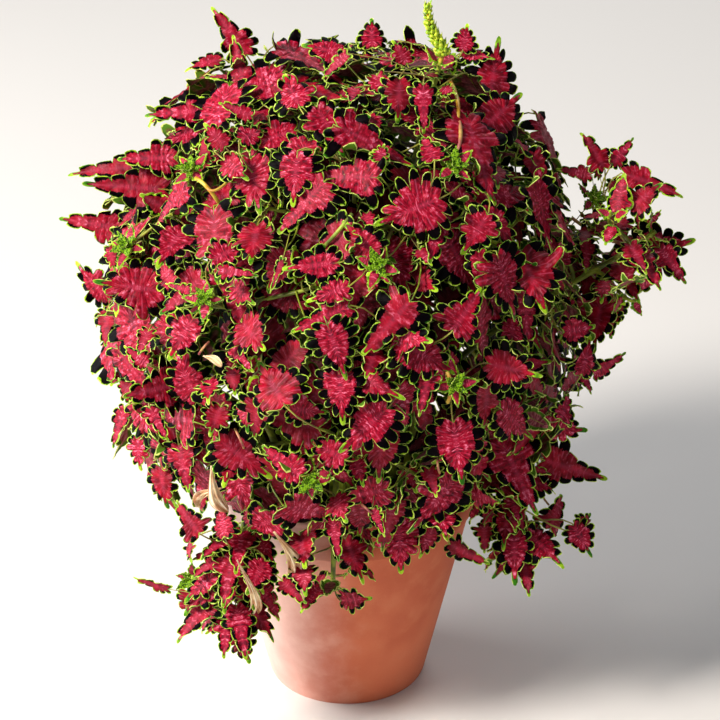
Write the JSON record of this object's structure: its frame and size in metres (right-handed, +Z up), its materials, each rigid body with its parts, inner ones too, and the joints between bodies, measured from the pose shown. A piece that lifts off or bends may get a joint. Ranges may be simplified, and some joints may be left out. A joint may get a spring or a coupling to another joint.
{
  "type": "potted coleus",
  "caption": "Coleus with lobed crimson, near-black and lime leaves, bushy on square stems, in a plain terracotta pot.",
  "frame": {"origin": "centre of the pot's underside, on the surface it stands on", "axes": "+Z up along the pot's axis; -Y is the side that the picture shows; +X to the right seen from there"},
  "size_m": [0.6686, 0.5264, 0.7992],
  "materials": {
    "terracotta": "fired, unglazed, chalky",
    "compost": "damp, crumbly",
    "coleus_leaf": "soft, satin, crinkled",
    "flower_buds": "satin"
  },
  "bodies": {
    "root": {"pot": "terracotta", "compost": "compost", "flower_spike": "flower_buds", "leafy_stem_01": "coleus_leaf", "leafy_stem_02": "coleus_leaf", "leafy_stem_03": "coleus_leaf", "leafy_stem_04": "coleus_leaf", "leafy_stem_05": "coleus_leaf", "leafy_stem_06": "coleus_leaf", "leafy_stem_07": "coleus_leaf", "leafy_stem_08": "coleus_leaf", "leafy_stem_09": "coleus_leaf", "leafy_stem_10": "coleus_leaf", "leafy_stem_11": "coleus_leaf", "leafy_stem_12": "coleus_leaf", "leafy_stem_13": "coleus_leaf", "leafy_stem_14": "coleus_leaf", "leafy_stem_15": "coleus_leaf", "leafy_stem_16": "coleus_leaf", "leafy_stem_17": "coleus_leaf", "leafy_stem_18": "coleus_leaf", "leafy_stem_19": "coleus_leaf", "leafy_stem_20": "coleus_leaf", "leafy_stem_21": "coleus_leaf"}
  },
  "joints": []
}
